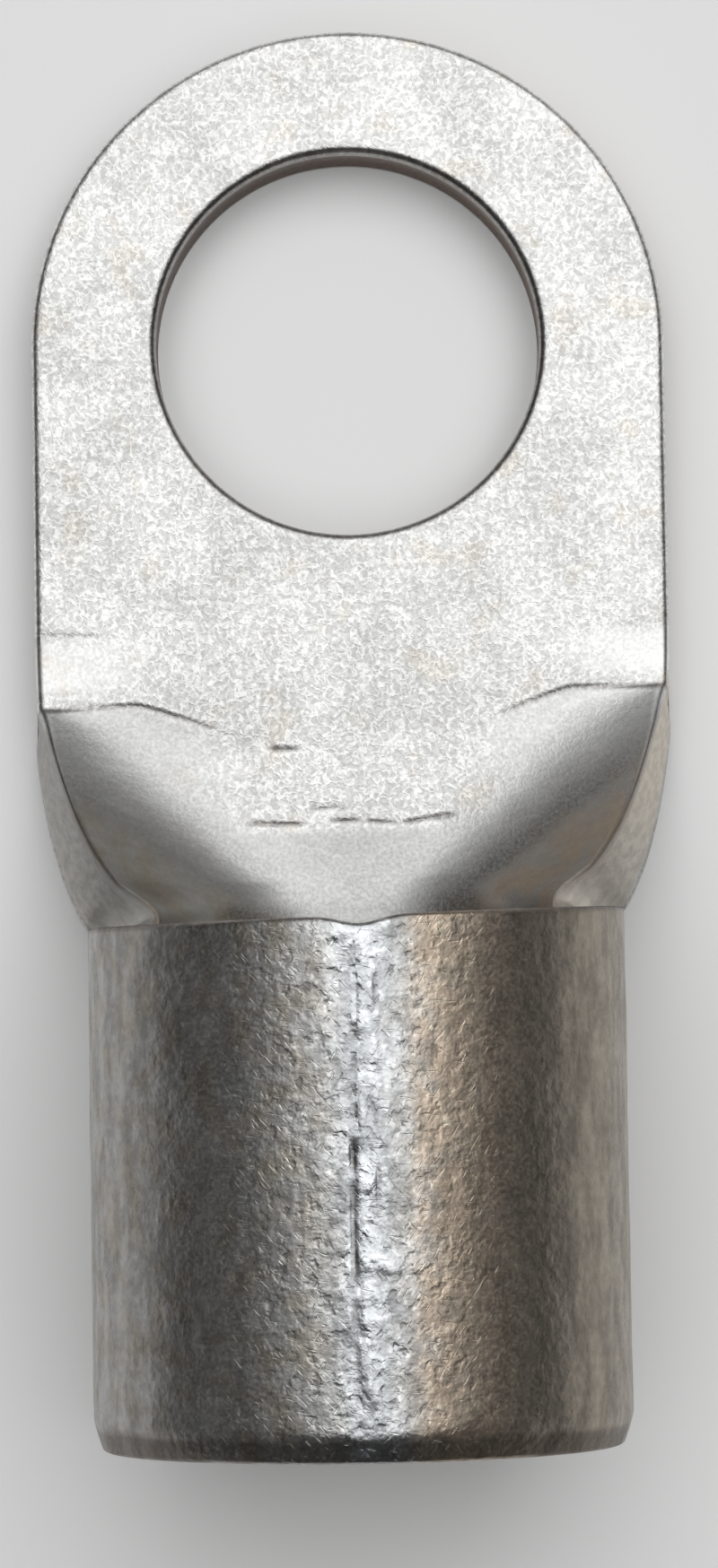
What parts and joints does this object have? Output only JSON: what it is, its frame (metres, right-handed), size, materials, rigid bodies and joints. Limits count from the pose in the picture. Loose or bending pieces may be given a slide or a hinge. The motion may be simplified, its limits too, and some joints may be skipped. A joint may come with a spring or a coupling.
{
  "type": "cable lug",
  "caption": "Ring-tongue crimp cable lug in tinned copper sheet: flat ring palm with a bolt hole, open trough-shaped neck and rolled barrel with a brazed seam.",
  "frame": {"origin": "centre of the bolt hole on the underside of the palm", "axes": "+Z out of the palm on the side of the barrel's seam, +Y from the barrel towards the palm's tip, +X to the right"},
  "size_m": [0.0282, 0.062, 0.0225],
  "materials": {
    "tinned_copper": "matt electro-tinned copper with handling marks"
  },
  "bodies": {
    "root": {"lug": "tinned_copper"}
  },
  "joints": []
}
